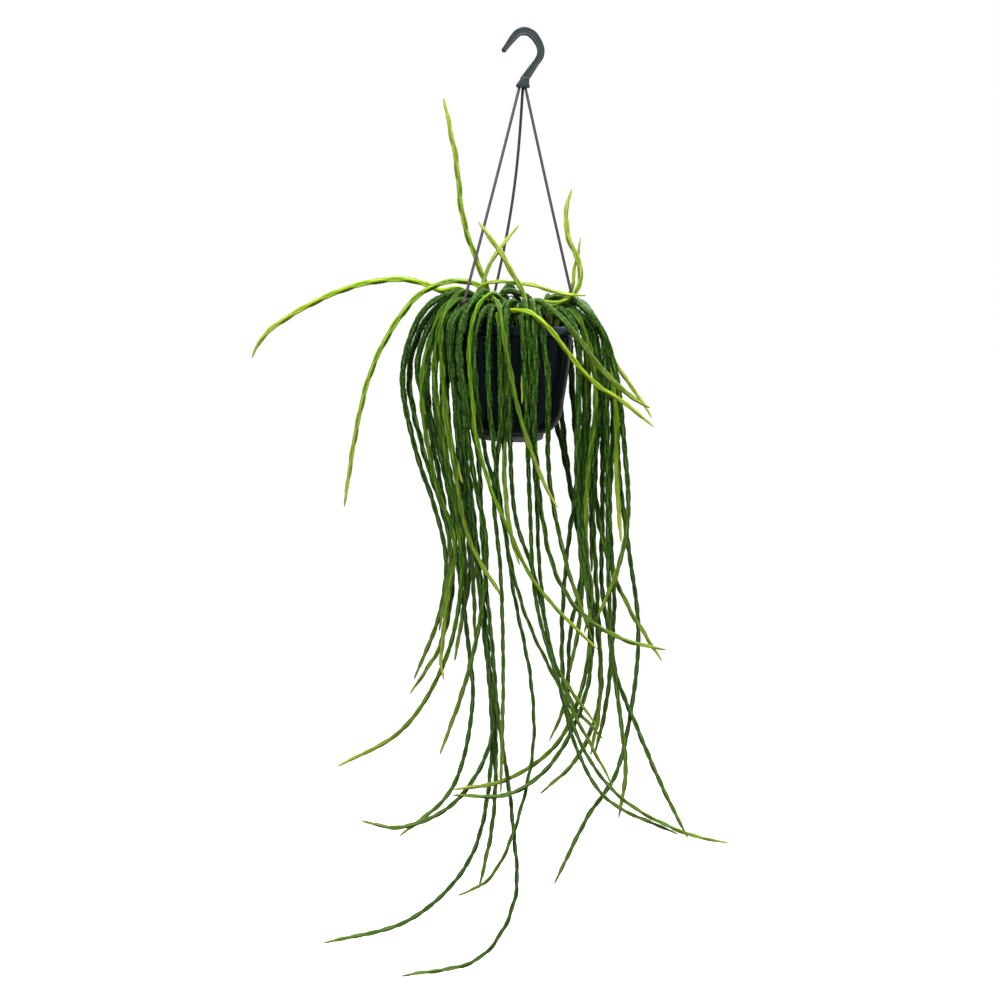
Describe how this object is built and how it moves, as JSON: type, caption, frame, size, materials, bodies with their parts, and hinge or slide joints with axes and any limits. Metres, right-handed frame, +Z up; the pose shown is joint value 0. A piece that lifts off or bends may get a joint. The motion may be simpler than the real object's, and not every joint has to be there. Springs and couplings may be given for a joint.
{
  "type": "potted chain cactus",
  "caption": "Chain cactus with long three-ribbed hanging stems in a dark round plastic hanging pot with a drip saucer, strands and a hook.",
  "frame": {"origin": "inner crest of the hook, where the rod or bracket that carries the plant touches it, on the pot's axis", "axes": "+Z up along the pot's axis, +X to the viewer's right in the front view, +Y away from the viewer"},
  "size_m": [0.603, 0.1923, 1.1602],
  "materials": {
    "pot": "near-black blue moulded plastic, semi-gloss, with paler worn edges",
    "saucer": "mid-grey moulded plastic",
    "soil": "dark damp potting mix of peat, bark and grit",
    "hanger": "grey moulded plastic, satin",
    "strand": "thin grey plastic, satin",
    "stem_deep": "deep green waxy skin with pale specks at the joints",
    "stem_mid": "mid-green waxy skin, yellower to the tip",
    "stem_fresh": "fresh green waxy skin, yellow-green to the tip",
    "stem_bright": "bright yellow-green skin of new growth"
  },
  "bodies": {
    "root": {"hook": "hanger", "strand_right": "strand", "strand_back": "strand", "strand_left": "strand", "pot": "pot", "saucer": "saucer", "soil": "soil", "stem_spike": "stem_fresh", "stem_lean": "stem_fresh", "stem_upright_1": "stem_fresh", "stem_upright_2": "stem_fresh", "stem_upright_3": "stem_fresh", "stem_arch_right": "stem_fresh", "stem_far_left": "stem_bright", "stem_wide_left": "stem_fresh", "stem_reach_1": "stem_bright", "stem_reach_2": "stem_mid", "stem_reach_3": "stem_fresh", "stem_front_1": "stem_bright", "stem_front_2": "stem_fresh", "stem_front_3": "stem_bright", "stem_front_4": "stem_deep", "stem_front_5": "stem_mid", "stem_front_6": "stem_mid", "stem_front_7": "stem_deep", "stem_front_8": "stem_mid", "stem_front_9": "stem_mid", "stem_front_10": "stem_mid", "stem_front_11": "stem_mid", "stem_front_12": "stem_fresh", "stem_left_1": "stem_deep", "stem_left_2": "stem_mid", "stem_left_3": "stem_fresh", "stem_left_4": "stem_fresh", "stem_left_5": "stem_deep", "stem_left_6": "stem_deep", "stem_left_7": "stem_mid", "stem_left_8": "stem_deep", "stem_left_9": "stem_fresh", "stem_left_10": "stem_mid", "stem_left_11": "stem_deep", "stem_left_12": "stem_deep", "stem_left_13": "stem_deep", "stem_left_14": "stem_deep", "stem_left_15": "stem_fresh", "stem_right_1": "stem_fresh", "stem_right_2": "stem_deep", "stem_right_3": "stem_fresh", "stem_right_4": "stem_deep", "stem_right_5": "stem_mid", "stem_right_6": "stem_deep", "stem_right_7": "stem_mid", "stem_right_8": "stem_deep", "stem_right_9": "stem_bright", "stem_right_10": "stem_mid", "stem_right_11": "stem_deep", "stem_right_12": "stem_mid", "stem_back_1": "stem_deep", "stem_back_2": "stem_deep", "stem_back_3": "stem_deep"}
  },
  "joints": []
}
